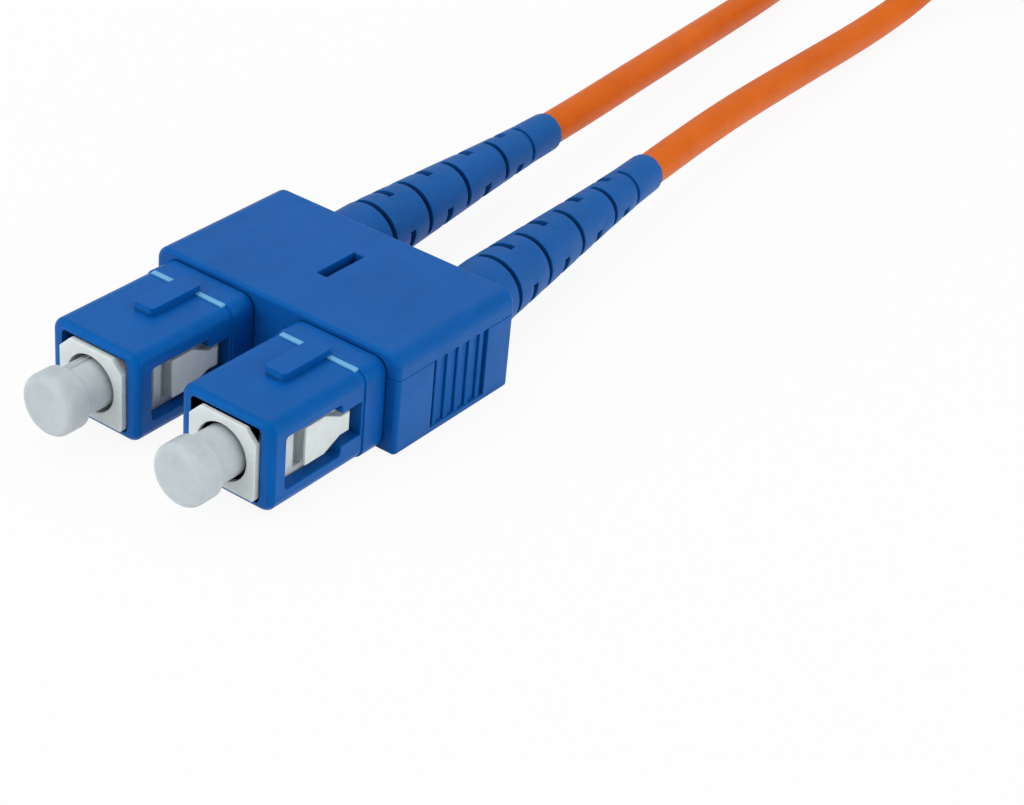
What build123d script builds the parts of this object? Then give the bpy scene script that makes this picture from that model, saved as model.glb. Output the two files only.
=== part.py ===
from build123d import *
from math import cos, pi, radians, sin, tan
import os

os.makedirs("parts", exist_ok=True)

# A duplex SC fibre optic connector with its two cables, in millimetres.
# X runs across the pair, the plugs point towards -Y and the key side is +Z.
# The origin is the middle of the clip's underside, on the surface that it stands on.

# The pair
pitch = 12.7
axis_height = 4.0
sides = {"a": -pitch / 2, "b": pitch / 2}

# Duplex clip, a tray and a lid that hold both housings by their waists
clip_length = 13.8
clip_width = 23.8
clip_height = 8.4
clip_split = 6.4
clip_lip = 1.2
clip_shoulder = 1.2
clip_brow = 0.4
clip_foot_round = 0.3
clip_fit = 0.05
clip_front = -clip_length / 2
clip_back = clip_length / 2

# Ribbed finger recess in each flank of the clip
grip_length = 6.5
grip_offset = 0.55
grip_sill = 0.6
grip_depth = 0.35
grip_ribs = 5
grip_rib_width = 0.5
grip_rib_proud = 0.2

# Snap tongue of the tray in the slot of the lid
snap_slot_length = 4.4
snap_slot_width = 1.0
snap_slot_offset = 0.6
snap_ledge = 0.4
snap_ledge_height = 0.8
tongue_gap = 0.1
tongue_height = 1.35
tongue_head = 0.4
well_length = 2.6
well_width = 2.0
well_depth = 4.6
well_offset = 4.0

# Outer housing, the shell that slides to unlatch the plug
housing_reach = 12.2
housing_width = 8.6
housing_height = 7.4
housing_corner = 1.0
housing_lead_edge = 0.3
housing_tail = 11.4
waist_inset = 0.4
waist_rim = 1.6
collar_rise = 0.12
collar_length = 2.25
key_width = 2.0
key_rise = 0.65
key_length = 5.3
key_round = 0.4
key_lap = 0.3
housing_front = clip_front - housing_reach
housing_top = axis_height + housing_height / 2
waist_front = clip_front + clip_lip
housing_back = waist_front + housing_tail
collar_front = clip_front - clip_fit - collar_length

# Plug frame, the off-white carrier inside each housing
slide_gap = 0.1
frame_width = 6.2
frame_height = 5.8
frame_chamfer = 1.0
frame_foot_round = 0.3
frame_lead = 0.4
frame_length = 19.0
frame_mouth = 4.6
mouth_depth = 6.4
mouth_edge = 0.2
shoulder_thickness = 0.6
shoulder_bore = 2.9
frame_chamber = 4.7
frame_front = housing_front - frame_lead
frame_back = frame_front + frame_length
shoulder_front = frame_front + mouth_depth
shoulder_back = shoulder_front + shoulder_thickness

# Latch lugs and grooves on the frame's flanks
lug_setback = 4.1
lug_length = 4.8
lug_flank = 2.1
lug_taper = 1.7
lug_front_tall = 3.2
lug_back_tall = 1.6
lug_proud = 0.75
lug_edge = 0.25
groove_setback = 2.1
groove_length = 0.8
groove_step = 1.6
groove_depth = 0.5
groove_tall = 3.8
lug_front = housing_front + lug_setback

# Side windows of the outer housing
window_setback = 1.5
window_length = 6.0
window_tall = 4.4
window_slot_length = 2.2
window_slot_tall = 2.8
window_front = housing_front + window_setback
window_back = window_front + window_length

# Ferrule and its flange
ferrule_diameter = 2.5
ferrule_length = 10.5
ferrule_lead = 0.7
ferrule_bevel = 0.35
fibre_funnel = 1.0
funnel_depth = 3.0
flange_diameter = 4.2
flange_length = 2.0
flange_notch = 0.8
flange_notch_depth = 0.5
flange_tail_diameter = 2.9
flange_tail_length = 4.4
flange_tail_bore = 1.1
flange_seat_gap = 0.02
ferrule_tip = frame_front - ferrule_lead
ferrule_end = ferrule_tip + ferrule_length
flange_front = shoulder_back + flange_seat_gap
flange_back = flange_front + flange_length
flange_end = flange_back + flange_tail_length

# Spring stop, with its barbs in the snap windows at the frame's back
stop_spigot_length = 3.9
stop_spigot_gap = 0.05
stop_bore = 2.0
stop_plate_width = 5.6
stop_plate_height = 5.2
stop_plate_length = 1.3
stop_plate_corner = 0.6
stop_stem_diameter = 3.6
stop_stem_length = 7.0
knurl_count = 6
knurl_width = 0.4
knurl_depth = 0.15
barb_window_width = 2.2
barb_window_length = 1.6
barb_window_setback = 1.3
barb_gap = 0.1
stop_front = frame_back - stop_spigot_length
plate_back = frame_back + stop_plate_length
stem_back = plate_back + stop_stem_length
barb_middle = frame_back - barb_window_setback - barb_window_length / 2

# Spring between the flange and the stop
spring_wire = 0.4
spring_inner_gap = 0.15
spring_turns = 5
spring_front = flange_back + spring_wire / 2
spring_back = stop_front - spring_wire / 2
spring_radius = flange_tail_diameter / 2 + spring_inner_gap + spring_wire / 2

# Guide tube, buffered fibre and crimp sleeve
guide_gap = 0.1
guide_wall = 0.35
guide_length = 9.6
guide_inset = 0.1
buffer_diameter = 0.9
buffer_length = 16.6
sleeve_wall = 0.5
sleeve_gap = 0.05
sleeve_length = 6.2
sleeve_setback = 0.4
sleeve_diameter = stop_stem_diameter + 2 * sleeve_gap + 2 * sleeve_wall

# Dust cap
cap_bore_gap = 0.03
cap_stem_diameter = 4.0
cap_stem_depth = 5.1
cap_stem_reach = 2.4
cap_knob_diameter = 4.9
cap_knob_length = 2.1
cap_knob_round = 0.6
cap_tip_room = 0.4
cap_back = frame_front + cap_stem_depth
knob_back = frame_front - cap_stem_reach
cap_front = knob_back - cap_knob_length

# Strain-relief boot: a socket over the crimp sleeve and a slotted tail that leans with its cable
cable_diameter = 3.0
boot_diameter = 5.6
boot_tip_diameter = 3.9
boot_tip_length = 2.6
boot_tip_round = 0.3
boot_tail_length = 30.0
boot_plate_gap = 0.3
boot_sleeve_gap = 0.05
boot_cable_gap = 0.05
boot_clip_gap = 0.3
boot_overhang = 1.3
boot_neck = 0.4
boot_skin = 0.2
boot_slot_width = 0.75
ring_bridge = 1.7
notch_bridge = 3.0
ring_station_shares = (0.217, 0.40, 0.583, 0.75, 0.873)
notch_station_shares = (0.308, 0.492, 0.667, 0.812)
lean_degrees = {"a": 2.2, "b": 5.8}
ring_bridge_degrees = 135
notch_bridge_degrees = 45
boot_front = plate_back + boot_plate_gap
boot_pivot = stem_back + boot_neck
boot_bore = cable_diameter + 2 * boot_cable_gap

# Free cables: points along each one, from inside its boot to its hank
cable_points = {
    "a": [
        (-6.37, 8.8, axis_height),
        (-6.93, 23.7, axis_height),
        (-7.58, 40.2, axis_height),
        (-9.2, 55.0, 3.5),
        (-11.2, 70.0, 2.6),
        (-13.0, 85.0, 1.9),
        (-15.0, 100.0, 1.7),
        (-18.2, 115.0, 2.0),
        (-19.6, 130.0, 2.3),
    ],
    "b": [
        (6.29, 8.8, axis_height),
        (4.80, 23.7, axis_height),
        (3.11, 40.1, axis_height),
        (1.5, 54.5, 3.5),
        (0.4, 69.5, 2.7),
        (-0.7, 84.5, 1.8),
        (-1.1, 96.0, 2.3),
        (0.2, 104.5, 6.4),
        (3.2, 112.0, 9.0),
        (8.0, 122.5, 8.4),
        (10.4, 134.0, 8.2),
    ],
}
arc_share = 0.45

# Hanks: each cable's put-away length, wound in ovals two layers deep, one hank on the other
fold_radius = 9.0
hank_turns = 3
hank_layers = 2
hank_straight = 36.0
hank_x = -4.6
hank_near = 111.0
hank_round = 1.2
hank_radius = fold_radius + (hank_turns - 1) * cable_diameter + cable_diameter / 2
hank_eye_radius = fold_radius - cable_diameter / 2
hank_height = hank_layers * cable_diameter
hank_middle = hank_near + hank_radius + hank_straight / 2

# Tie round both hanks
tie_width = 8.0
tie_thickness = 0.6
tie_gap = 0.1
tie_round = 1.8
hank_lift = tie_thickness + tie_gap


def across(x, y):
    """The plane square to a plug's axis: local x is X, local y is Z, and it faces the mating end."""
    return Plane(origin=(x, y, axis_height), x_dir=(1, 0, 0), z_dir=(0, -1, 0))


def along(x):
    """The upright plane through a plug's axis: local x is Y and local y is Z."""
    return Plane(origin=(x, 0, axis_height), x_dir=(0, 1, 0), z_dir=(1, 0, 0))


def plug_axis(x):
    """The axis of the plug at x, pointing to the cable end."""
    return Axis((x, 0, axis_height), (0, 1, 0))


def bar(x, front, back, width, height, corner, mode=Mode.ADD):
    """A bar round the axis at x, from front to back, with rounded long edges."""
    with BuildSketch(across(x, back)) as section:
        RectangleRounded(width, height, corner)
    extrude(section.sketch, amount=back - front, mode=mode)


def rod(x, front, back, diameter, mode=Mode.ADD):
    """A rod or, when subtracted, a bore on the axis at x, from front to back."""
    with BuildSketch(across(x, back)) as section:
        Circle(diameter / 2)
    extrude(section.sketch, amount=back - front, mode=mode)


def turned(x, outline, mode=Mode.ADD):
    """A turned form: an outline of stations along Y and radii, revolved about the axis at x."""
    with BuildSketch(along(x)) as profile:
        with BuildLine():
            Polyline(*outline, close=True)
        make_face()
    revolve(profile.sketch, axis=plug_axis(x), mode=mode)


def clip_pockets(x):
    """The stepped hollow that one housing fills in the clip, with the boot's hole behind it."""
    wide = housing_width + 2 * clip_fit
    tall = housing_height + 2 * clip_fit
    rim_front = housing_back - waist_rim - clip_fit
    bar(x, clip_front, waist_front, wide, tall, housing_corner, Mode.SUBTRACT)
    bar(
        x,
        waist_front,
        rim_front,
        wide - 2 * waist_inset,
        tall - 2 * waist_inset,
        housing_corner - waist_inset,
        Mode.SUBTRACT,
    )
    bar(x, rim_front, housing_back + clip_fit, wide, tall, housing_corner, Mode.SUBTRACT)
    rod(x, housing_back, clip_back, boot_diameter + 2 * boot_clip_gap, Mode.SUBTRACT)


# Clip tray: the lower shell, with finger recesses, core wells and the snap tongue
with BuildPart() as clip_lower:
    with BuildSketch() as outline:
        Rectangle(clip_width, clip_length)
    extrude(amount=clip_split)
    fillet(clip_lower.edges().filter_by(Axis.Z).group_by(Axis.Y)[0], clip_brow)
    fillet(clip_lower.edges().filter_by(Axis.Z).group_by(Axis.Y)[-1], clip_foot_round)
    fillet(clip_lower.faces().sort_by(Axis.Z)[0].edges(), clip_foot_round)
    for flank in (-1, 1):
        with Locations((flank * clip_width / 2, grip_offset, (grip_sill + clip_split) / 2)):
            Box(2 * grip_depth, grip_length, clip_split - grip_sill, mode=Mode.SUBTRACT)
        rib_step = grip_length / grip_ribs
        with Locations((flank * (clip_width / 2 - grip_depth), grip_offset, (grip_sill + clip_split) / 2)):
            with GridLocations(0, rib_step, 1, grip_ribs):
                Box(2 * grip_rib_proud, grip_rib_width, clip_split - grip_sill)
    for x in sides.values():
        clip_pockets(x)
    with BuildSketch() as wells:
        with Locations((0, -well_offset), (0, well_offset)):
            RectangleRounded(well_width, well_length, clip_foot_round)
    extrude(amount=well_depth, mode=Mode.SUBTRACT)
    tongue_length = snap_slot_length - 2 * snap_ledge - 2 * tongue_gap
    tongue_thickness = snap_slot_width - 2 * tongue_gap
    head_foot = snap_ledge_height + tongue_gap / 2
    with BuildSketch(Plane.YZ.offset(-tongue_thickness / 2)) as tongue:
        with BuildLine():
            Polyline(
                (snap_slot_offset - tongue_length / 2, clip_split - tongue_height),
                (snap_slot_offset - tongue_length / 2, clip_split + head_foot),
                (snap_slot_offset - tongue_length / 2 - snap_ledge, clip_split + head_foot),
                (snap_slot_offset - tongue_length / 2, clip_split + head_foot + tongue_head),
                (snap_slot_offset + tongue_length / 2, clip_split + head_foot + tongue_head),
                (snap_slot_offset + tongue_length / 2 + snap_ledge, clip_split + head_foot),
                (snap_slot_offset + tongue_length / 2, clip_split + head_foot),
                (snap_slot_offset + tongue_length / 2, clip_split - tongue_height),
                close=True,
            )
        make_face()
    extrude(amount=tongue_thickness)
clip_lower.part.label = "clip_lower"
export_step(clip_lower.part, "parts/clip_lower.step")

# Clip lid: the upper shell, with round shoulders and the stepped snap slot
with BuildPart() as clip_upper:
    with BuildSketch(Plane.XZ.offset(-clip_back)) as arch:
        with Locations((0, (clip_split + clip_height) / 2)):
            Rectangle(clip_width, clip_height - clip_split)
        fillet(arch.vertices().group_by(Axis.Y)[-1], clip_shoulder)
    extrude(amount=clip_length)
    for face, rounding in ((0, clip_brow), (-1, clip_foot_round)):
        end = clip_upper.faces().sort_by(Axis.Y)[face]
        fillet(end.edges() - end.edges().group_by(Axis.Z)[0], rounding)
    for x in sides.values():
        clip_pockets(x)
    with BuildSketch(Plane.XY.offset(clip_height)) as slot_mouth:
        with Locations((0, snap_slot_offset)):
            Rectangle(snap_slot_width, snap_slot_length)
    extrude(amount=-(clip_height - clip_split - snap_ledge_height), mode=Mode.SUBTRACT)
    with BuildSketch(Plane.XY.offset(clip_height)) as slot_waist:
        with Locations((0, snap_slot_offset)):
            Rectangle(snap_slot_width, snap_slot_length - 2 * snap_ledge)
    extrude(amount=-(clip_height - clip_split), mode=Mode.SUBTRACT)
clip_upper.part.label = "clip_upper"
export_step(clip_upper.part, "parts/clip_upper.step")

for side, x in sides.items():
    # Outer housing: a rounded tube with a waist for the clip, a collar, the key and two windows
    with BuildPart() as outer_housing:
        bar(x, housing_front, housing_back, housing_width, housing_height, housing_corner)
        chamfer(outer_housing.faces().sort_by(Axis.Y)[0].edges(), housing_lead_edge)
        with BuildSketch(across(x, housing_back - waist_rim)) as waist_cut:
            Rectangle(housing_width, housing_height)
            RectangleRounded(
                housing_width - 2 * waist_inset,
                housing_height - 2 * waist_inset,
                housing_corner - waist_inset,
                mode=Mode.SUBTRACT,
            )
        extrude(waist_cut.sketch, amount=housing_tail - waist_rim, mode=Mode.SUBTRACT)
        bar(
            x,
            collar_front,
            collar_front + collar_length,
            housing_width + 2 * collar_rise,
            housing_height + 2 * collar_rise,
            housing_corner + collar_rise,
        )
        with BuildSketch(Plane.XY.offset(housing_top - key_rise)) as key:
            with Locations((x, collar_front + key_lap - key_length / 2)):
                RectangleRounded(key_width, key_length, key_round)
        extrude(key.sketch, amount=2 * key_rise)
        bar(
            x,
            housing_front,
            housing_back,
            frame_width + 2 * slide_gap,
            frame_height + 2 * slide_gap,
            frame_foot_round,
            Mode.SUBTRACT,
        )
        with BuildSketch(along(x)) as window:
            with Locations((window_front + window_length / 2, 0)):
                RectangleRounded(window_length, window_tall, frame_foot_round)
            with Locations((window_back + window_slot_length / 2 - frame_foot_round, 0)):
                Rectangle(window_slot_length + 2 * frame_foot_round, window_slot_tall)
        extrude(window.sketch, amount=housing_width, both=True, mode=Mode.SUBTRACT)
    outer_housing.part.label = f"outer_housing_{side}"
    export_step(outer_housing.part, f"parts/outer_housing_{side}.step")

    # Plug frame: chamfered on the key side, with a lug on each flank and a stepped bore
    with BuildPart() as plug_frame:
        with BuildSketch(across(x, frame_back)) as frame_section:
            Rectangle(frame_width, frame_height)
            chamfer(frame_section.vertices().group_by(Axis.Y)[-1], frame_chamfer)
            fillet(frame_section.vertices().group_by(Axis.Y)[0], frame_foot_round)
        extrude(frame_section.sketch, amount=frame_length)
        with BuildSketch(along(x)) as lug:
            with BuildLine():
                Polyline(
                    (lug_front, -lug_front_tall / 2),
                    (lug_front, lug_front_tall / 2),
                    (lug_front + lug_flank, lug_front_tall / 2),
                    (lug_front + lug_flank + lug_taper, lug_back_tall / 2),
                    (lug_front + lug_length, lug_back_tall / 2),
                    (lug_front + lug_length, -lug_back_tall / 2),
                    (lug_front + lug_flank + lug_taper, -lug_back_tall / 2),
                    (lug_front + lug_flank, -lug_front_tall / 2),
                    close=True,
                )
            make_face()
        extrude(lug.sketch, amount=frame_width / 2 + lug_proud, both=True)
        for flank in (-1, 1):
            groove_x = x + flank * frame_width / 2
            groove_y = housing_front + groove_setback + groove_length / 2
            with Locations((groove_x, groove_y, axis_height), (groove_x, groove_y + groove_step, axis_height)):
                Box(2 * groove_depth, groove_length, groove_tall, mode=Mode.SUBTRACT)
        rod(x, frame_front, shoulder_front, frame_mouth, Mode.SUBTRACT)
        rod(x, shoulder_front, shoulder_back, shoulder_bore, Mode.SUBTRACT)
        rod(x, shoulder_back, frame_back, frame_chamber, Mode.SUBTRACT)
        with Locations((x, barb_middle, axis_height)):
            Box(barb_window_width, barb_window_length, frame_height, mode=Mode.SUBTRACT)
    plug_frame.part.label = f"plug_frame_{side}"
    export_step(plug_frame.part, f"parts/plug_frame_{side}.step")

    # Ferrule: a ceramic rod with a bevelled tip and a fibre funnel behind
    with BuildPart() as ferrule:
        turned(
            x,
            [
                (ferrule_tip, 0),
                (ferrule_tip, ferrule_diameter / 2 - ferrule_bevel),
                (ferrule_tip + ferrule_bevel, ferrule_diameter / 2),
                (ferrule_end, ferrule_diameter / 2),
                (ferrule_end, fibre_funnel / 2),
                (ferrule_end - funnel_depth, 0),
            ],
        )
    ferrule.part.label = f"ferrule_{side}"
    export_step(ferrule.part, f"parts/ferrule_{side}.step")

    # Ferrule flange: a notched collar with a tail that guides the spring
    with BuildPart() as ferrule_flange:
        rod(x, flange_front, flange_back, flange_diameter)
        rod(x, flange_back, flange_end, flange_tail_diameter)
        rod(x, flange_front, ferrule_end, ferrule_diameter, Mode.SUBTRACT)
        rod(x, ferrule_end, flange_end, flange_tail_bore, Mode.SUBTRACT)
        notch_x = flange_diameter / 2
        with Locations(across(x, flange_front + flange_length / 2)):
            with PolarLocations(notch_x, 4):
                Box(2 * flange_notch_depth, flange_notch, flange_length, mode=Mode.SUBTRACT)
    ferrule_flange.part.label = f"ferrule_flange_{side}"
    export_step(ferrule_flange.part, f"parts/ferrule_flange_{side}.step")

    # Spring: an open coil between the flange's collar and the stop
    with BuildPart() as spring:
        with BuildLine() as coil:
            Helix(
                pitch=(spring_back - spring_front) / spring_turns,
                height=spring_back - spring_front,
                radius=spring_radius,
                center=(x, spring_front, axis_height),
                direction=(0, 1, 0),
            )
        with BuildSketch(Plane(origin=coil.line @ 0, z_dir=coil.line % 0)):
            Circle(spring_wire / 2)
        sweep(is_frenet=True)
    spring.part.label = f"spring_{side}"
    export_step(spring.part, f"parts/spring_{side}.step")

    # Spring stop: a spigot with snap barbs, a plate and a grooved stem for the crimp
    with BuildPart() as spring_stop:
        rod(x, stop_front, frame_back, frame_chamber - 2 * stop_spigot_gap)
        with Locations((x, barb_middle, axis_height)):
            Box(
                barb_window_width - 2 * barb_gap,
                barb_window_length - 2 * barb_gap,
                frame_height - 2 * barb_gap,
            )
        bar(x, frame_back, plate_back, stop_plate_width, stop_plate_height, stop_plate_corner)
        rod(x, plate_back, stem_back, stop_stem_diameter)
        knurl_step = sleeve_length / knurl_count
        for knurl in range(knurl_count):
            groove_front = plate_back + sleeve_setback + (knurl + 1) * knurl_step - knurl_width
            with BuildSketch(across(x, groove_front + knurl_width)) as knurl_ring:
                Circle(stop_stem_diameter / 2)
                Circle(stop_stem_diameter / 2 - knurl_depth, mode=Mode.SUBTRACT)
            extrude(knurl_ring.sketch, amount=knurl_width, mode=Mode.SUBTRACT)
        rod(x, stop_front, stem_back, stop_bore, Mode.SUBTRACT)
    spring_stop.part.label = f"spring_stop_{side}"
    export_step(spring_stop.part, f"parts/spring_stop_{side}.step")

    # Guide tube: keeps the buffered fibre central in the stop
    guide_diameter = stop_bore - 2 * guide_gap
    with BuildPart() as guide_tube:
        rod(x, stem_back - guide_inset - guide_length, stem_back - guide_inset, guide_diameter)
        rod(
            x,
            stem_back - guide_inset - guide_length,
            stem_back - guide_inset,
            guide_diameter - 2 * guide_wall,
            Mode.SUBTRACT,
        )
    guide_tube.part.label = f"guide_tube_{side}"
    export_step(guide_tube.part, f"parts/guide_tube_{side}.step")

    # Buffered fibre: glued in the ferrule's back, free in the guide tube
    with BuildPart() as fibre_buffer:
        rod(x, ferrule_end, ferrule_end + buffer_length, buffer_diameter)
    fibre_buffer.part.label = f"fibre_buffer_{side}"
    export_step(fibre_buffer.part, f"parts/fibre_buffer_{side}.step")

    # Crimp sleeve: squeezes the cable's strength yarn on the stem
    sleeve_front = plate_back + sleeve_setback
    with BuildPart() as crimp_sleeve:
        rod(x, sleeve_front, sleeve_front + sleeve_length, sleeve_diameter)
        rod(
            x,
            sleeve_front,
            sleeve_front + sleeve_length,
            sleeve_diameter - 2 * sleeve_wall,
            Mode.SUBTRACT,
        )
    crimp_sleeve.part.label = f"crimp_sleeve_{side}"
    export_step(crimp_sleeve.part, f"parts/crimp_sleeve_{side}.step")

    # Dust cap: a stem over the ferrule with a round knob to pull it by
    cap_bore = ferrule_diameter + 2 * cap_bore_gap
    with BuildPart() as dust_cap:
        rod(x, knob_back, cap_back, cap_stem_diameter)
        rod(x, cap_front, knob_back, cap_knob_diameter)
        fillet(dust_cap.edges().filter_by(GeomType.CIRCLE).sort_by(Axis.Y)[0], cap_knob_round)
        rod(x, ferrule_tip - cap_tip_room, cap_back, cap_bore, Mode.SUBTRACT)
    dust_cap.part.label = f"dust_cap_{side}"
    export_step(dust_cap.part, f"parts/dust_cap_{side}.step")

    # Boot: straight socket, ball-shaped bend and a tapered tail cut by crossed rows of slots
    lean = radians(lean_degrees[side])
    pivot = Vector(x, boot_pivot, axis_height)
    heading = Vector(-sin(lean), cos(lean), 0)
    crosswise = Vector(cos(lean), sin(lean), 0)
    taper_end = boot_tail_length - boot_tip_length
    with BuildPart() as boot:
        rod(x, boot_front, boot_pivot, boot_diameter)
        with Locations(pivot):
            Sphere(boot_diameter / 2)
        with BuildSketch(Plane(origin=pivot, x_dir=heading, z_dir=crosswise)) as tail:
            with BuildLine():
                Polyline(
                    (0, 0),
                    (0, boot_diameter / 2),
                    (taper_end, boot_tip_diameter / 2),
                    (boot_tail_length - boot_tip_round, boot_tip_diameter / 2),
                    (boot_tail_length, boot_tip_diameter / 2 - boot_tip_round),
                    (boot_tail_length, 0),
                    close=True,
                )
            make_face()
        revolve(tail.sketch, axis=Axis(pivot, heading))
        stations = [(share, ring_bridge, ring_bridge_degrees) for share in ring_station_shares]
        stations += [(share, notch_bridge, notch_bridge_degrees) for share in notch_station_shares]
        for share, bridge, degrees in stations:
            middle = pivot + heading * (share * boot_tail_length)
            with BuildSketch(Plane(origin=middle, x_dir=crosswise, z_dir=-heading)) as slots:
                Circle(boot_diameter / 2)
                Circle(boot_bore / 2 + boot_skin, mode=Mode.SUBTRACT)
                Rectangle(boot_diameter, bridge, rotation=degrees, mode=Mode.SUBTRACT)
            extrude(slots.sketch, amount=boot_slot_width / 2, both=True, mode=Mode.SUBTRACT)
        rod(x, boot_front, stem_back + guide_inset, sleeve_diameter + 2 * boot_sleeve_gap, Mode.SUBTRACT)
        with BuildSketch(Plane(origin=pivot - heading * boot_overhang, x_dir=crosswise, z_dir=heading)) as lead:
            Circle(boot_bore / 2)
        extrude(lead.sketch, amount=boot_tail_length + boot_overhang, mode=Mode.SUBTRACT)
    boot.part.label = f"boot_{side}"
    export_step(boot.part, f"parts/boot_{side}.step")

    # Cable: straight runs joined by tangent arcs, out of the boot and down to its hank
    points = [Vector(*point) for point in cable_points[side]]
    runs = [end - start for start, end in zip(points, points[1:])]
    bends = [
        arc_share * min(before.length, after.length) / tan(radians(before.get_angle(after)) / 2)
        for before, after in zip(runs, runs[1:])
    ]
    print(f"cable_{side} bend radii:", [round(bend) for bend in bends])
    with BuildPart() as cable:
        with BuildLine() as route:
            FilletPolyline(*points, radius=bends)
        with BuildSketch(Plane(origin=route.line @ 0, z_dir=route.line % 0)):
            Circle(cable_diameter / 2)
        sweep()
    route_length = sum(edge.length for edge in route.edges())
    section_area = pi * cable_diameter**2 / 4
    print(f"cable_{side} length {route_length:.1f}, by volume {cable.part.volume / section_area:.1f}")
    cable.part.label = f"cable_{side}"
    export_step(cable.part, f"parts/cable_{side}.step")

    # Hank: the outer shape of this cable's put-away turns
    hank_floor = hank_lift + (hank_height if side == "b" else 0)
    with BuildPart() as hank:
        with BuildSketch(Plane.XY.offset(hank_floor)):
            with Locations((hank_x, hank_middle)):
                SlotCenterToCenter(hank_straight, 2 * hank_radius, rotation=90)
                SlotCenterToCenter(hank_straight, 2 * hank_eye_radius, rotation=90, mode=Mode.SUBTRACT)
        extrude(amount=hank_height)
        fillet(hank.edges().filter_by(Plane.XY), hank_round)
    hank.part.label = f"hank_{side}"
    export_step(hank.part, f"parts/hank_{side}.step")

# Tie: a soft strap closed round both hanks at their middle
tie_height = 2 * hank_height + 2 * tie_gap
with BuildPart() as hank_tie:
    with BuildSketch(Plane.XZ.offset(-hank_middle)):
        with Locations((hank_x, tie_thickness + tie_height / 2)):
            RectangleRounded(
                2 * hank_radius + 2 * tie_gap + 2 * tie_thickness,
                tie_height + 2 * tie_thickness,
                tie_round,
            )
            RectangleRounded(
                2 * hank_radius + 2 * tie_gap,
                tie_height,
                tie_round - tie_thickness,
                mode=Mode.SUBTRACT,
            )
    extrude(amount=tie_width / 2, both=True)
hank_tie.part.label = "hank_tie"
export_step(hank_tie.part, "parts/hank_tie.step")
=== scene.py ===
from math import cos, pi, radians, sin

import bmesh
import bpy
from mathutils import Matrix, Vector


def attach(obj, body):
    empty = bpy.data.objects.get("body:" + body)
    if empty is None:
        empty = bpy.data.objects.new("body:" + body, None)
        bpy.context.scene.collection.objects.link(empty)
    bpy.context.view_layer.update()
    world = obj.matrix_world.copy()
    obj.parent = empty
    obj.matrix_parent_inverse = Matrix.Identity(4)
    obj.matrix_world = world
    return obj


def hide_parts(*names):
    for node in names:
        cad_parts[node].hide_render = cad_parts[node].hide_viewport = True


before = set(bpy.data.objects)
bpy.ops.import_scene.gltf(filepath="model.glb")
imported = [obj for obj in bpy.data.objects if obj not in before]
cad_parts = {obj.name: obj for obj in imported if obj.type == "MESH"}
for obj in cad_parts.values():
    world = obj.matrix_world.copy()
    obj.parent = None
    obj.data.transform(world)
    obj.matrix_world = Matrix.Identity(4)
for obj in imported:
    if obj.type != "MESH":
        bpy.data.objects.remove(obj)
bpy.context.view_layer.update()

# A duplex SC fibre optic connector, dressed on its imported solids. Lengths are metres and angles
# are degrees, and the tables that hold millimetres say so.
# X runs across the pair, the plugs point towards -Y and the key side is +Z.

mm = 0.001
pitch = 12.7 * mm
axis_height = 4.0 * mm
sides = {"a": -pitch / 2, "b": pitch / 2}

# Camera: where the photograph was taken from, in the object's own frame
camera_place = Vector((100.23, -124.96, 98.74)) * mm
camera_azimuth = 33.62
camera_elevation = 32.28
camera_roll = 5.77
camera_lens = 85.319
camera_sensor = 36.0
camera_near = 0.01
camera_far = 20

# Light: a pale sky, and three square soft boxes with the point that each one faces
sky_tone = (0.97, 0.985, 1.0)
sky_strength = 0.55
lamps = {
    "overhead": {"place": (-0.16, 0.06, 0.55), "target": (0, 0, 0), "width": 0.5, "power": 1.1},
    "front_fill": {"place": (-0.2, -0.5, 0.2), "target": (0, -0.01, 0), "width": 0.4, "power": 1.25},
    "side_fill": {"place": (0.5, 0.12, 0.18), "target": (0, 0, 0), "width": 0.4, "power": 0.95},
}


def axes_of_view(azimuth, elevation, roll):
    """The camera's right, up and backward directions."""
    a, e, r = radians(azimuth), radians(elevation), radians(roll)
    back = Vector((sin(a) * cos(e), -cos(a) * cos(e), sin(e)))
    level = Vector((cos(a), sin(a), 0))
    upright = back.cross(level)
    right = cos(r) * level + sin(r) * upright
    up = -sin(r) * level + cos(r) * upright
    return right, up, back


def make_camera():
    """The photograph's camera."""
    data = bpy.data.cameras.new("photo_camera")
    data.lens = camera_lens
    data.sensor_width = camera_sensor
    data.clip_start = camera_near
    data.clip_end = camera_far
    camera = bpy.data.objects.new("photo_camera", data)
    bpy.context.scene.collection.objects.link(camera)
    right, up, back = axes_of_view(camera_azimuth, camera_elevation, camera_roll)
    turn = Matrix((right, up, back)).transposed().to_4x4()
    camera.matrix_world = Matrix.Translation(camera_place) @ turn
    bpy.context.scene.camera = camera


def add_lamp(name, place, target, width, power):
    """A square soft box at place that faces target."""
    data = bpy.data.lights.new(name, "AREA")
    data.shape = "SQUARE"
    data.size = width
    data.energy = power
    lamp = bpy.data.objects.new(name, data)
    bpy.context.scene.collection.objects.link(lamp)
    aim = Vector(target) - Vector(place)
    lamp.rotation_mode = "QUATERNION"
    lamp.rotation_quaternion = aim.to_track_quat("-Z", "Y")
    lamp.location = place


def make_light():
    """A light tent: an even pale sky and soft boxes overhead, in front and at the side."""
    world = bpy.data.worlds.new("tent")
    bpy.context.scene.world = world
    world.use_nodes = True
    sky = world.node_tree.nodes["Background"]
    sky.inputs["Color"].default_value = (*sky_tone, 1)
    sky.inputs["Strength"].default_value = sky_strength
    for name, setting in lamps.items():
        add_lamp(name, **setting)


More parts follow.
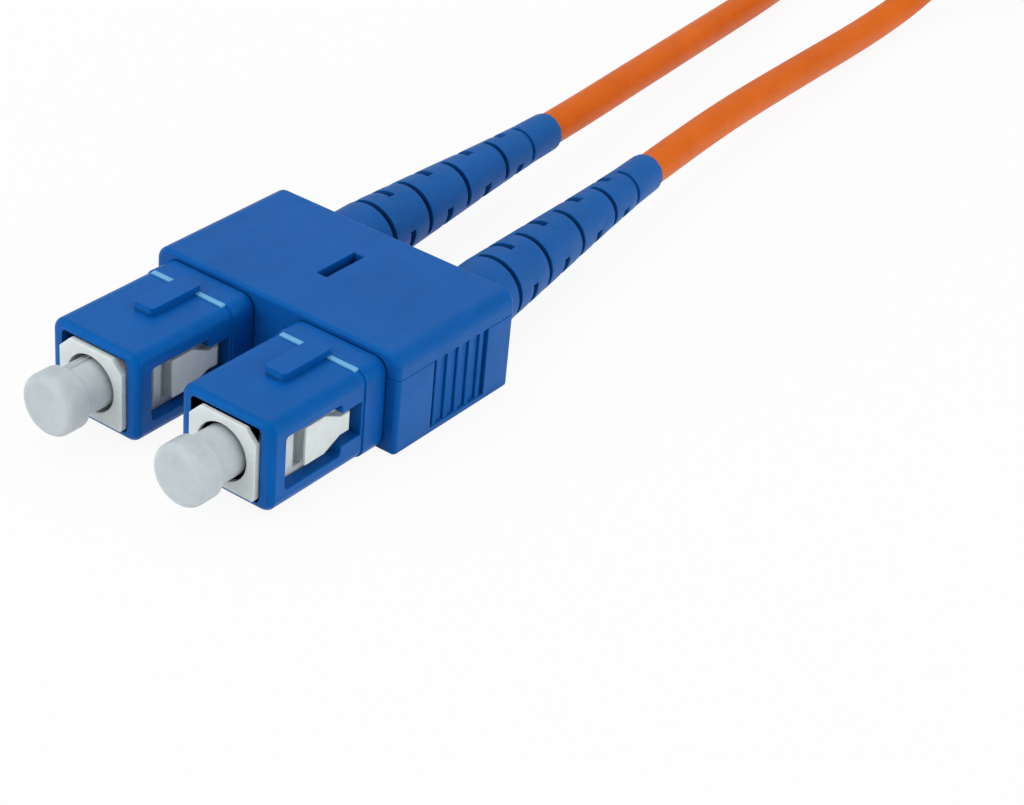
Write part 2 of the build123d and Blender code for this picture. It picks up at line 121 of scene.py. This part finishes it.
class Recipe:
    """A material's node tree, with short names for the nodes that these materials use."""

    # A Mix node has sockets for each kind of data: these are the factor and the two colours that
    # go in, and the colour that comes out
    mix_inputs = (0, 6, 7)
    mix_output = 2
    crevice_samples = 8

    def __init__(self, name):
        self.material = bpy.data.materials.new(name)
        self.material.use_nodes = True
        self.nodes = self.material.node_tree.nodes
        self.links = self.material.node_tree.links
        self.shader = self.nodes["Principled BSDF"]
        self.place = self.nodes.new("ShaderNodeTexCoord").outputs["Object"]

    def noise(self, size, detail, roughness=0.5, stretch=(1, 1, 1)):
        """A noise whose features are about size metres across, longer along the stretched axes."""
        node = self.nodes.new("ShaderNodeTexNoise")
        node.inputs["Scale"].default_value = 1 / size
        node.inputs["Detail"].default_value = detail
        node.inputs["Roughness"].default_value = roughness
        place = self.place
        if stretch != (1, 1, 1):
            mapping = self.nodes.new("ShaderNodeMapping")
            mapping.inputs["Scale"].default_value = [1 / s for s in stretch]
            self.links.new(place, mapping.inputs["Vector"])
            place = mapping.outputs["Vector"]
        self.links.new(place, node.inputs["Vector"])
        return node.outputs["Fac"]

    def spread(self, value, low, high, from_low=0.3, from_high=0.7):
        """The value, mapped from the middle of its own range to low and high."""
        node = self.nodes.new("ShaderNodeMapRange")
        node.inputs["From Min"].default_value = from_low
        node.inputs["From Max"].default_value = from_high
        node.inputs["To Min"].default_value = low
        node.inputs["To Max"].default_value = high
        self.links.new(value, node.inputs["Value"])
        return node.outputs["Result"]

    def blend(self, factor, first, second):
        """A colour between first and second, which are colours or sockets."""
        node = self.nodes.new("ShaderNodeMix")
        node.data_type = "RGBA"
        for place, value in zip(self.mix_inputs, (factor, first, second)):
            if isinstance(value, bpy.types.NodeSocket):
                self.links.new(value, node.inputs[place])
            else:
                node.inputs[place].default_value = (*value, 1)
        return node.outputs[self.mix_output]

    def larger(self, first, second):
        """The larger of two values."""
        node = self.nodes.new("ShaderNodeMath")
        node.operation = "MAXIMUM"
        self.links.new(first, node.inputs[0])
        self.links.new(second, node.inputs[1])
        return node.outputs[0]

    def crevice(self, reach, inside=False):
        """How open the surface is within reach: 1 in the open and less in corners.
        If inside, it is less at edges instead."""
        node = self.nodes.new("ShaderNodeAmbientOcclusion")
        node.samples = self.crevice_samples
        node.inside = inside
        node.inputs["Distance"].default_value = reach
        return node.outputs["AO"]

    def bump(self, height, depth, strength, normal=None):
        """A bump of the given depth in metres, added to an earlier one if there is one."""
        node = self.nodes.new("ShaderNodeBump")
        node.inputs["Strength"].default_value = strength
        node.inputs["Distance"].default_value = depth
        self.links.new(height, node.inputs["Height"])
        if normal is not None:
            self.links.new(normal, node.inputs["Normal"])
        return node.outputs["Normal"]

    def set(self, **values):
        """Sets the shader's own sockets to constants."""
        for name, value in values.items():
            self.shader.inputs[name.replace("_", " ")].default_value = value

    def feed(self, name, socket):
        """Links a socket to the shader."""
        self.links.new(socket, self.shader.inputs[name])


# Moulded plastic: how large its marks are, and how far each one shifts the tone, gloss or relief.
# The pale edges are a painted highlight and the dark creases are painted shade.
flow_size = 3.2 * mm
flow_stretch = (1, 2.2, 1)
flow_tone_share = 0.86
flow_relief = 5
cloud_size = 0.7 * mm
cloud_weight = 0.35
cloud_tone_share = 1.18
cloud_lift = 0.002
# Painted highlight: convex edges are paled within this reach, by up to this share, over this range
edge_reach = 0.25 * mm
edge_highlight = 0.22
edge_range = (0.35, 0.9)
# Painted shade: creases and corners are darkened within this reach, over this range of openness
crease_reach = 1.1 * mm
crease_range = (0.1, 0.85)
gloss_patch = 1.4 * mm
gloss_below = 0.05
gloss_above = 0.09


def moulded(name, tone, pale, gloss, grain=0.12 * mm, depth=0.004 * mm, crease_shade=0.45):
    """Injection-moulded plastic: flow marks, spark-eroded grain, painted shade in its creases and a
    painted highlight on its edges.
    """
    recipe = Recipe(name)
    flow = recipe.noise(flow_size, detail=4, roughness=0.55, stretch=flow_stretch)
    cloud = recipe.noise(cloud_size, detail=3, roughness=0.6)
    flow_tone = [c * flow_tone_share for c in tone]
    cloud_tone = [min(1, c * cloud_tone_share + cloud_lift) for c in tone]
    colour = recipe.blend(recipe.spread(flow, 0, 1), tone, flow_tone)
    colour = recipe.blend(recipe.spread(cloud, 0, cloud_weight), colour, cloud_tone)
    # Painted highlight: convex edges are paled towards the pale tone
    rim = recipe.spread(recipe.crevice(edge_reach, inside=True), edge_highlight, 0, *edge_range)
    colour = recipe.blend(rim, colour, pale)
    # Painted shade: the tone is darkened where the surface is closed in, in creases and corners
    shade = recipe.spread(recipe.crevice(crease_reach), crease_shade, 1, *crease_range)
    recipe.feed("Base Color", recipe.blend(shade, [c * crease_shade for c in tone], colour))
    speck = recipe.noise(grain, detail=2, roughness=0.6)
    patches = recipe.noise(gloss_patch, detail=4, roughness=0.6)
    recipe.feed("Roughness", recipe.spread(patches, gloss - gloss_below, gloss + gloss_above))
    grained = recipe.bump(speck, depth, strength=0.8)
    recipe.feed("Normal", recipe.bump(flow, depth * flow_relief, strength=0.5, normal=grained))
    return recipe


def make_clip_blue():
    """The clip's satin blue."""
    recipe = moulded(
        "clip_blue",
        tone=(0.003, 0.099, 0.39),
        pale=(0.006, 0.116, 0.42),
        gloss=0.4,
        grain=0.1 * mm,
        depth=0.003 * mm,
    )
    recipe.set(IOR=1.5, Specular_IOR_Level=0.3, Specular_Tint=(0.06, 0.52, 1.0, 1))
    return recipe.material


def make_housing_blue():
    """The outer housings' blue, a little glossier than the clip's."""
    recipe = moulded(
        "housing_blue",
        tone=(0.0015, 0.099, 0.40),
        pale=(0.004, 0.118, 0.44),
        gloss=0.36,
        grain=0.2 * mm,
        depth=0.002 * mm,
    )
    recipe.set(IOR=1.5, Specular_IOR_Level=0.3, Specular_Tint=(0.04, 0.55, 1.0, 1))
    return recipe.material


def make_boot_blue():
    """The boots' softer and duller blue, with darker painted shade in their creases."""
    recipe = moulded(
        "boot_blue",
        tone=(0.008, 0.103, 0.37),
        pale=(0.012, 0.13, 0.43),
        gloss=0.5,
        grain=0.09 * mm,
        depth=0.006 * mm,
        crease_shade=0.3,
    )
    recipe.set(IOR=1.48, Specular_IOR_Level=0.28, Specular_Tint=(0.3, 0.6, 1.0, 1))
    return recipe.material


def make_mark_blue():
    """The pale blue of the marks on the outer housings."""
    recipe = moulded("mark_pale_blue", tone=(0.12, 0.42, 0.74), pale=(0.2, 0.52, 0.84), gloss=0.4)
    return recipe.material


def make_frame_ivory():
    """The plug frames' off-white, which lets a little light in."""
    recipe = moulded(
        "frame_ivory",
        tone=(0.74, 0.80, 0.79),
        pale=(0.84, 0.88, 0.87),
        gloss=0.34,
        # how dark the painted shade in the frames' creases is
        crease_shade=0.55,
    )
    recipe.set(
        IOR=1.5,
        Subsurface_Weight=0.15,
        Subsurface_Radius=(1.0, 0.9, 0.7),
        Subsurface_Scale=0.0006,
    )
    return recipe.material


def make_cap_milky():
    """The dust caps' soft, milky plastic."""
    recipe = moulded(
        "cap_milky",
        tone=(0.59, 0.65, 0.67),
        pale=(0.69, 0.75, 0.77),
        gloss=0.38,
        grain=0.2 * mm,
        depth=0.003 * mm,
        # how dark the painted shade in the caps' creases is
        crease_shade=0.75,
    )
    recipe.set(
        IOR=1.5,
        Subsurface_Weight=0.55,
        Subsurface_Radius=(1.0, 1.0, 1.0),
        Subsurface_Scale=0.0012,
        Transmission_Weight=0.12,
    )
    return recipe.material


def make_tube_natural():
    """The uncoloured plastic of the inner tubes."""
    recipe = moulded("tube_natural", tone=(0.62, 0.64, 0.62), pale=(0.75, 0.76, 0.75), gloss=0.4)
    return recipe.material


def make_jacket_orange():
    """Extruded cable jacket: slow waviness, fine flecks and a satin skin."""
    recipe = Recipe("jacket_orange")
    orange = (0.74, 0.140, 0.006)
    deep_orange = (0.64, 0.112, 0.004)
    light_orange = (0.80, 0.17, 0.012)
    wander = recipe.noise(size=6 * mm, detail=4, roughness=0.55)
    fleck = recipe.noise(size=0.35 * mm, detail=3, roughness=0.65)
    colour = recipe.blend(recipe.spread(wander, 0, 1), orange, deep_orange)
    flecked = recipe.spread(fleck, low=0, high=0.18)
    recipe.feed("Base Color", recipe.blend(flecked, colour, light_orange))
    patches = recipe.noise(size=1.0 * mm, detail=4, roughness=0.6)
    recipe.feed("Roughness", recipe.spread(patches, low=0.38, high=0.52))
    grain = recipe.noise(size=0.11 * mm, detail=2, roughness=0.6)
    grained = recipe.bump(grain, depth=0.0012 * mm, strength=0.6)
    recipe.feed("Normal", recipe.bump(wander, depth=0.03 * mm, strength=0.4, normal=grained))
    recipe.set(IOR=1.5, Specular_IOR_Level=0.2, Specular_Tint=(1.0, 0.55, 0.25, 1))
    return recipe.material


def make_zirconia():
    """Polished zirconia: dense, slightly warm and very smooth."""
    recipe = Recipe("zirconia")
    white = (0.83, 0.82, 0.76)
    warm_white = (0.78, 0.77, 0.71)
    cloud = recipe.noise(size=0.8 * mm, detail=3)
    recipe.feed("Base Color", recipe.blend(recipe.spread(cloud, 0, 1), white, warm_white))
    patches = recipe.noise(size=0.3 * mm, detail=3, roughness=0.6)
    recipe.feed("Roughness", recipe.spread(patches, low=0.1, high=0.17))
    grain = recipe.noise(size=0.05 * mm, detail=2)
    recipe.feed("Normal", recipe.bump(grain, depth=0.0008 * mm, strength=0.6))
    recipe.set(IOR=2.1)
    return recipe.material


def make_metal(name, tone, gloss):
    """Turned metal: rings of tool marks round the plug's axis and small tone shifts."""
    recipe = Recipe(name)
    dull_share, gloss_below, gloss_above = 0.8, 0.06, 0.1
    dull = [c * dull_share for c in tone]
    cloud = recipe.noise(size=1.2 * mm, detail=4, roughness=0.6)
    lines = recipe.noise(size=0.06 * mm, detail=2, stretch=(30, 1, 30))
    recipe.feed("Base Color", recipe.blend(recipe.spread(cloud, 0, 1), tone, dull))
    recipe.feed("Roughness", recipe.spread(lines, gloss - gloss_below, gloss + gloss_above))
    recipe.feed("Normal", recipe.bump(lines, depth=0.003 * mm, strength=0.8))
    recipe.set(Metallic=1.0)
    return recipe.material


def make_strap_black():
    """Black woven hook-and-loop strap: crossed threads with a fuzzy sheen."""
    recipe = Recipe("strap_black")
    between = (0.008, 0.008, 0.009)
    thread = (0.03, 0.03, 0.034)
    lint = (0.05, 0.05, 0.055)
    thread_size = 3.0 * mm
    threads = []
    for direction in ("X", "Y"):
        wave = recipe.nodes.new("ShaderNodeTexWave")
        wave.bands_direction = direction
        wave.inputs["Scale"].default_value = 1 / thread_size
        wave.inputs["Distortion"].default_value = 1.2
        wave.inputs["Detail"].default_value = 2
        recipe.links.new(recipe.place, wave.inputs["Vector"])
        threads.append(wave.outputs["Fac"])
    weave = recipe.larger(*threads)
    fuzz = recipe.noise(size=0.25 * mm, detail=4, roughness=0.7)
    woven = recipe.spread(weave, low=0, high=1, from_low=0.2, from_high=1)
    colour = recipe.blend(woven, between, thread)
    linty = recipe.spread(fuzz, low=0, high=0.5)
    recipe.feed("Base Color", recipe.blend(linty, colour, lint))
    recipe.feed("Roughness", recipe.spread(fuzz, low=0.75, high=0.95))
    fuzzy = recipe.bump(fuzz, depth=0.04 * mm, strength=0.7)
    recipe.feed("Normal", recipe.bump(weave, depth=0.06 * mm, strength=0.8, normal=fuzzy))
    recipe.set(Sheen_Weight=0.3, Sheen_Roughness=0.6, Specular_IOR_Level=0.2)
    return recipe.material


def make_finishes():
    """Every finish of the object, by a short name."""
    return {
        "clip": make_clip_blue(),
        "housing": make_housing_blue(),
        "boot": make_boot_blue(),
        "mark": make_mark_blue(),
        "frame": make_frame_ivory(),
        "cap": make_cap_milky(),
        "jacket": make_jacket_orange(),
        "ceramic": make_zirconia(),
        "steel": make_metal("steel", tone=(0.58, 0.57, 0.55), gloss=0.3),
        "crimp_alloy": make_metal("crimp_alloy", tone=(0.62, 0.54, 0.36), gloss=0.34),
        "tube": make_tube_natural(),
        "strap": make_strap_black(),
    }


# Floor: a large square that glows for the camera and for reflections, so that it reads as white
floor_half_width = 6.0
floor_mottle = 0.05
floor_tones = ((0.90, 0.90, 0.90), (0.88, 0.88, 0.885))
floor_glow = 1.0
floor_glow_share = 0.92


def make_floor():
    """A plain white table that keeps the object's soft shadow."""
    recipe = Recipe("floor_white")
    recipe.set(Roughness=0.9, Specular_IOR_Level=0.1)
    mottle = recipe.noise(floor_mottle, detail=3)
    recipe.feed("Base Color", recipe.blend(recipe.spread(mottle, 0, 1), *floor_tones))
    glow = recipe.nodes.new("ShaderNodeEmission")
    glow.inputs["Strength"].default_value = floor_glow
    rays = recipe.nodes.new("ShaderNodeLightPath").outputs
    seen = rays["Is Camera Ray"]
    for kind in ("Is Glossy Ray", "Is Transmission Ray"):
        seen = recipe.larger(seen, rays[kind])
    part = recipe.nodes.new("ShaderNodeMath")
    part.operation = "MULTIPLY"
    part.inputs[1].default_value = floor_glow_share
    recipe.links.new(seen, part.inputs[0])
    mix = recipe.nodes.new("ShaderNodeMixShader")
    recipe.links.new(part.outputs[0], mix.inputs[0])
    recipe.links.new(recipe.shader.outputs[0], mix.inputs[1])
    recipe.links.new(glow.outputs[0], mix.inputs[2])
    recipe.links.new(mix.outputs[0], recipe.nodes["Material Output"].inputs["Surface"])
    size = floor_half_width
    mesh = bpy.data.meshes.new("floor")
    corners = [(-size, -size, 0), (size, -size, 0), (size, size, 0), (-size, size, 0)]
    mesh.from_pydata(corners, [], [(0, 1, 2, 3)])
    mesh.materials.append(recipe.material)
    floor = bpy.data.objects.new("floor", mesh)
    bpy.context.scene.collection.objects.link(floor)


# Meshes: which angles count as flat, smooth or sharp, and how fine a rounded edge is
weld_reach = 0.0005 * mm
flat_angle = 1.0
smooth_angle = 40
sharp_angle = 32
edge_segments = 3
round_profile = 0.5

# How far the edges of each kind of piece are rounded
clip_upper_edge = 0.09 * mm
clip_lower_edge = 0.07 * mm
housing_edge = 0.08 * mm
frame_edge = 0.07 * mm
boot_edge = 0.06 * mm
cap_edge = 0.1 * mm


def object_from(work, name, material):
    """A new object from a bmesh, shaded smooth apart from its sharp edges."""
    mesh = bpy.data.meshes.new(name)
    work.to_mesh(mesh)
    work.free()
    mesh.materials.append(material)
    for face in mesh.polygons:
        face.use_smooth = True
    mesh.set_sharp_from_angle(angle=radians(smooth_angle))
    piece = bpy.data.objects.new(name, mesh)
    bpy.context.scene.collection.objects.link(piece)
    return piece


def round_edges(work, edges, edge, clamp_overlap):
    """Rounds the given edges of a bmesh."""
    bmesh.ops.bevel(
        work,
        geom=edges,
        offset=edge,
        offset_type="OFFSET",
        segments=edge_segments,
        profile=round_profile,
        affect="EDGES",
        clamp_overlap=clamp_overlap,
    )


def cut_across(work, place, along):
    """Adds points where the plane through place, square to along, crosses the mesh."""
    bmesh.ops.bisect_plane(
        work,
        geom=work.verts[:] + work.edges[:] + work.faces[:],
        plane_co=place,
        plane_no=along,
    )


def dressed(node, body, material, edge, reshape=None):
    """The piece that stands for a rigid node: the same solid with its sharp edges rounded."""
    work = bmesh.new()
    work.from_mesh(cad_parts[node].data)
    bmesh.ops.remove_doubles(work, verts=work.verts, dist=weld_reach)
    flat = radians(flat_angle)
    bmesh.ops.dissolve_limit(work, angle_limit=flat, verts=work.verts, edges=work.edges)
    if reshape:
        reshape(work)
    sharp = radians(sharp_angle)
    corners = [e for e in work.edges if e.is_manifold and e.calc_face_angle_signed() > sharp]
    round_edges(work, corners, edge, clamp_overlap=False)
    piece = object_from(work, node + "_skin", material)
    even = piece.modifiers.new("even", "WEIGHTED_NORMAL")
    even.keep_sharp = True
    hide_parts(node)
    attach(piece, body)


def rounded_bar(name, low, high, edge, material):
    """A small bar between two corners with rounded edges."""
    work = bmesh.new()
    low, high = Vector(low), Vector(high)
    middle, size = (low + high) / 2, high - low
    stretch = Matrix.Translation(middle) @ Matrix.Diagonal((*size, 1))
    bmesh.ops.create_cube(work, size=1, matrix=stretch)
    round_edges(work, work.edges[:], edge, clamp_overlap=True)
    return object_from(work, name, material)


# Boots: the solid's straight taper and even slots, and what the photograph shows instead.
# Distances run along the boot from its bend, which lies at boot_pivot_y.
boot_pivot_y = 8.2 * mm
boot_leans = {"a": 2.2, "b": 5.8}
bend_margin = 0.01 * mm
boot_cuts = 29
boot_cut_step = 1.0 * mm
boot_cut_offset = 0.013 * mm

# In millimetres: the boot's radius at each distance, the middle of each slot on the solid and in
# the photograph, half a slot's width, the radius of the core that the slots leave, and the
# stretches that stay where they are
solid_profile = ((-2.0, 2.8), (0, 2.8), (27.4, 1.95), (30.0, 1.95))
photo_profile = (
    (-2.0, 2.8), (0, 2.8), (1.2, 2.94), (3.5, 2.94), (9, 2.66),
    (13.5, 2.42), (18, 2.17), (22.5, 1.96), (26.4, 1.8), (30, 1.74),
)
slot_places = ((6.5, 3.8), (12.0, 9.0), (17.5, 14.9), (22.5, 21.0), (26.2, 25.3))
solid_slot_reach = 0.4
photo_slot_reach = 0.29
solid_core = 1.751
photo_core = 1.63
core_margin = 0.05
unmoved_front = (-5.0, 0.0)
unmoved_back = (29.0, 31.0)


def along_table(table, x):
    """The value at x in a table of rising pairs, straight between them."""
    for (x0, y0), (x1, y1) in zip(table, table[1:]):
        if x <= x1:
            return y0 + (y1 - y0) * max(0.0, (x - x0) / (x1 - x0))
    return table[-1][1]


def boot_shift_table():
    """Where each distance along the solid goes: narrower slots, with the runs between stretched."""
    table = [(place, place) for place in unmoved_front]
    for solid, photo in slot_places:
        table.append((solid - solid_slot_reach, photo - photo_slot_reach))
        table.append((solid + solid_slot_reach, photo + photo_slot_reach))
    return table + [(place, place) for place in unmoved_back]


def boot_reshape(side):
    """Moves the boot's slots to where the photograph has them and rounds its taper."""
    lean = radians(boot_leans[side])
    heading = Vector((-sin(lean), cos(lean), 0))
    pivot = Vector((sides[side], boot_pivot_y, axis_height))
    shifts = boot_shift_table()

    def reshape(work):
        for cut in range(1, boot_cuts + 1):
            cut_across(work, pivot + heading * (cut * boot_cut_step + boot_cut_offset), heading)
        for vert in work.verts:
            offset = vert.co - pivot
            run = offset.dot(heading)
            if run <= bend_margin:
                continue
            out = offset - heading * run
            radius = out.length / mm
            moved = along_table(shifts, run / mm)
            if radius > solid_core - core_margin:
                before = along_table(solid_profile, run / mm)
                after = along_table(photo_profile, moved)
                height = (radius - solid_core) * (after - photo_core) / (before - solid_core)
                out *= (photo_core + height) / radius
            vert.co = pivot + heading * (moved * mm) + out

    return reshape


# Outer housing: how far its front edge is rounded, which the solid has as a small bevel.
# The cuts crowd towards the front. A point belongs to the outside, and is moved, from a share of
# the corner's radius outwards.
housing_front = -19.1 * mm
housing_half_width = 4.3 * mm
housing_half_height = 3.7 * mm
housing_corner = 1.0 * mm
front_round = 0.6 * mm
front_cuts = 8
front_crowding = 1.6
outside_share = 0.6


def held_within(value, limit):
    """The value, or the nearer end of the range from -limit to limit."""
    return max(-limit, min(limit, value))


def housing_reshape(side):
    """Rounds the outer housing's front edge all the way round, inwards from the solid."""
    straight_x = housing_half_width - housing_corner
    straight_z = housing_half_height - housing_corner

    def reshape(work):
        for cut in range(1, front_cuts + 1):
            depth = front_round * (cut / front_cuts) ** front_crowding
            cut_across(work, (0, housing_front + depth, 0), (0, 1, 0))
        for vert in work.verts:
            depth = vert.co.y - housing_front
            if depth >= front_round:
                continue
            x, z = vert.co.x - sides[side], vert.co.z - axis_height
            core = Vector((held_within(x, straight_x), 0, held_within(z, straight_z)))
            out = Vector((x, 0, z)) - core
            if out.length < outside_share * housing_corner:
                continue
            drop = front_round - (front_round**2 - (front_round - depth) ** 2) ** 0.5
            place = core + out.normalized() * (housing_corner - drop)
            vert.co.x, vert.co.z = sides[side] + place.x, axis_height + place.z

    return reshape


# Marks on the outer housing: two pale bars beside the key, at the collar's step
collar_front = -9.2 * mm
housing_top = 7.7 * mm
mark_depth = 0.45 * mm
mark_overlap = 0.03 * mm
mark_sink = 0.3 * mm
mark_rise = 0.14 * mm
mark_edge = 0.05 * mm
mark_spans = ((-3.5 * mm, -1.4 * mm), (0.95 * mm, 3.6 * mm))


def make_marks(side, finish):
    """The two marks of one outer housing."""
    for number, (left, right) in enumerate(mark_spans):
        mark = rounded_bar(
            f"housing_{side}_mark_{number}",
            (sides[side] + left, collar_front - mark_depth, housing_top - mark_sink),
            (sides[side] + right, collar_front + mark_overlap, housing_top + mark_rise),
            mark_edge,
            finish,
        )
        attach(mark, "grip")


# Cables, in millimetres: the source's points for each route, and where each one leaves its boot
cable_routes = {
    "a": [
        (-6.37, 8.8, 4.0),
        (-6.93, 23.7, 4.0),
        (-7.58, 40.2, 4.0),
        (-9.2, 55.0, 3.5),
        (-11.2, 70.0, 2.6),
        (-13.0, 85.0, 1.9),
        (-15.0, 100.0, 1.7),
        (-18.2, 115.0, 2.0),
        (-19.6, 130.0, 2.3),
    ],
    "b": [
        (6.29, 8.8, 4.0),
        (4.80, 23.7, 4.0),
        (3.11, 40.1, 4.0),
        (1.5, 54.5, 3.5),
        (0.4, 69.5, 2.7),
        (-0.7, 84.5, 1.8),
        (-1.1, 96.0, 2.3),
        (0.2, 104.5, 6.4),
        (3.2, 112.0, 9.0),
        (8.0, 122.5, 8.4),
        (10.4, 134.0, 8.2),
    ],
}

# Cables, in metres
cable_diameter = 3.0 * mm
curve_steps = 6

# Hanks: where each cable's turns lie, and the points of their straight runs and arcs
hank_x = -4.6 * mm
hank_near_centre = 127.5 * mm
hank_far_centre = 163.5 * mm
turn_radii = (15.0 * mm, 12.0 * mm, 9.0 * mm)
layer_heights = {"a": (2.2 * mm, 5.2 * mm), "b": (8.2 * mm, 11.2 * mm)}
arrival_share = 0.1
run_shares = (0.08, 0.5, 0.92)
arc_steps = 8
arc_swell = 1.013


def hank_turns(side):
    """The points of a hank's turns: inwards on the lower layer, then outwards on the upper one."""
    out = -1 if side == "a" else 1
    near, far = hank_near_centre, hank_far_centre
    low, high = layer_heights[side]
    outer, middle, inner = turn_radii
    # Each turn: its radius on the far arc's start, on the way back and on the way out again, then
    # its height on the far arc and on the near one
    turns = (
        (outer, outer, middle, low, low),
        (middle, middle, inner, low, low),
        (inner, inner, inner, low, high),
        (inner, middle, middle, high, high),
        (middle, outer, outer, high, high),
    )
    points = [(hank_x + out * outer, far - arrival_share * (far - near), low)]

    def straight(across, start, end, radius, z_from, z_to):
        for share in run_shares:
            y = start + (end - start) * share
            points.append((hank_x + across * radius, y, z_from + (z_to - z_from) * share))

    def arc(centre, across, along, r_from, r_to, z):
        for step in range(arc_steps + 1):
            share = step / arc_steps
            swell = arc_swell if 0 < step < arc_steps else 1
            radius = (r_from + (r_to - r_from) * share) * swell
            x = cos(pi * share) * across
            y = sin(pi * share) * along
            points.append((hank_x + x * radius, centre + y * radius, z))

    for r_start, r_back, r_out, z_far, z_near in turns:
        arc(far, out, 1, r_start, r_back, z_far)
        straight(-out, far, near, r_back, z_far, z_near)
        arc(near, -out, -1, r_back, r_out, z_near)
        straight(out, near, far, r_out, z_near, z_near)
    return points


def make_cord(side, finish):
    """A cable with its hank, as one smooth curve."""
    route = [Vector(point) * mm for point in cable_routes[side]]
    points = route + [Vector(point) for point in hank_turns(side)]
    curve = bpy.data.curves.new(f"cable_{side}_cord", "CURVE")
    curve.dimensions = "3D"
    spline = curve.splines.new("NURBS")
    spline.points.add(len(points) - 1)
    for knot, point in zip(spline.points, points):
        knot.co = (*point, 1)
    spline.order_u = 3
    spline.use_endpoint_u = True
    spline.resolution_u = curve_steps
    curve.bevel_depth = cable_diameter / 2
    curve.bevel_resolution = curve_steps
    curve.use_fill_caps = True
    curve.materials.append(finish)
    cable = bpy.data.objects.new(f"cable_{side}_cord", curve)
    bpy.context.scene.collection.objects.link(cable)
    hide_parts(f"cable_{side}", f"hank_{side}")
    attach(cable, "plugs")


# Tie: a strap closed round both hanks, with its end lapped on top. The strap's section is given as
# shares of its width and of half its thickness, and its outside is sunk along the middle.
tie_y = 145.5 * mm
tie_width = 8.0 * mm
tie_thickness = 0.6 * mm
tie_half_width = 17.2 * mm
tie_height = 13.4 * mm
tie_round = 1.8 * mm
tie_corner_steps = 6
tie_section_shares = (
    (-0.5, -0.6), (-0.46, -1), (0, -1.0), (0.46, -1), (0.5, -0.6),
    (0.5, 0.6), (0.46, 1), (0.2, 0.92), (-0.2, 0.92), (-0.46, 1), (-0.5, 0.6),
)
lap_length = 11.0 * mm
lap_half_width_share = 0.49
lap_sink = 0.1 * mm
lap_rise = 0.45 * mm
lap_edge = 0.2 * mm


def strap_path():
    """The strap's middle line, as X from the hank's middle and Z: a closed rounded rectangle."""
    skin = tie_thickness / 2
    half, top, turn = tie_half_width - skin, tie_height - skin, tie_round - skin
    quarter = 90
    corners = (
        (half - turn, skin + turn, -quarter),
        (half - turn, top - turn, 0),
        (-half + turn, top - turn, quarter),
        (-half + turn, skin + turn, 2 * quarter),
    )
    path = [(-lap_length / 2, skin)]
    for x, z, start in corners:
        for step in range(tie_corner_steps + 1):
            angle = radians(start + quarter * step / tie_corner_steps)
            path.append((x + turn * cos(angle), z + turn * sin(angle)))
    return path


def make_strap(finish):
    """The strap: its section swept round its path."""
    path = strap_path()
    skin = tie_thickness / 2
    work = bmesh.new()
    rings = []
    for index, (x, z) in enumerate(path):
        before, after = path[index - 1], path[(index + 1) % len(path)]
        along = Vector((after[0] - before[0], 0, after[1] - before[1])).normalized()
        outward = Vector((along.z, 0, -along.x))
        ring = []
        for wide, out in tie_section_shares:
            middle = Vector((hank_x + x, tie_y + wide * tie_width, z))
            ring.append(work.verts.new(middle + outward * (out * skin)))
        rings.append(ring)
    for ring, following in zip(rings, rings[1:] + rings[:1]):
        for k in range(len(ring)):
            n = (k + 1) % len(ring)
            work.faces.new((ring[k], ring[n], following[n], following[k]))
    bmesh.ops.recalc_face_normals(work, faces=work.faces[:])
    strap = object_from(work, "tie_strap", finish)
    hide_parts("hank_tie")
    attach(strap, "plugs")


def make_strap_lap(finish):
    """The strap's free end, pressed down on its own top."""
    half_width = lap_half_width_share * tie_width
    lap = rounded_bar(
        "tie_lap",
        (hank_x - lap_length / 2, tie_y - half_width, tie_height - lap_sink),
        (hank_x + lap_length / 2, tie_y + half_width, tie_height + lap_rise),
        lap_edge,
        finish,
    )
    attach(lap, "plugs")


# Inner pieces keep their solids and take these finishes
inner_finishes = {
    "ferrule": "ceramic",
    "ferrule_flange": "steel",
    "spring": "steel",
    "spring_stop": "steel",
    "crimp_sleeve": "crimp_alloy",
    "guide_tube": "tube",
    "fibre_buffer": "tube",
}


def make_clip(finish):
    """The clip's two halves."""
    dressed("clip_upper", "grip", finish, clip_upper_edge)
    dressed("clip_lower", "grip", finish, clip_lower_edge)


def make_plug(side, finishes):
    """One plug: its outer housing with the marks, its frame, its boot and its dust cap."""
    housing, boot = f"outer_housing_{side}", f"boot_{side}"
    front, taper = housing_reshape(side), boot_reshape(side)
    dressed(housing, "grip", finishes["housing"], housing_edge, reshape=front)
    make_marks(side, finishes["mark"])
    dressed(f"plug_frame_{side}", "plugs", finishes["frame"], frame_edge)
    dressed(boot, "plugs", finishes["boot"], boot_edge, reshape=taper)
    dressed(f"dust_cap_{side}", f"cap_{side}", finishes["cap"], cap_edge)


def finish_inner_pieces(side, finishes):
    """Gives each inner piece of one plug its finish."""
    for node, kind in inner_finishes.items():
        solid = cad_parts[f"{node}_{side}"]
        solid.data.materials.clear()
        solid.data.materials.append(finishes[kind])


make_camera()
make_light()
make_floor()
finishes = make_finishes()

for side in sides:
    make_cord(side, finishes["jacket"])
make_strap(finishes["strap"])
make_strap_lap(finishes["strap"])

make_clip(finishes["clip"])
for side in sides:
    make_plug(side, finishes)
    finish_inner_pieces(side, finishes)

bpy.context.scene.view_settings.view_transform = "Standard"
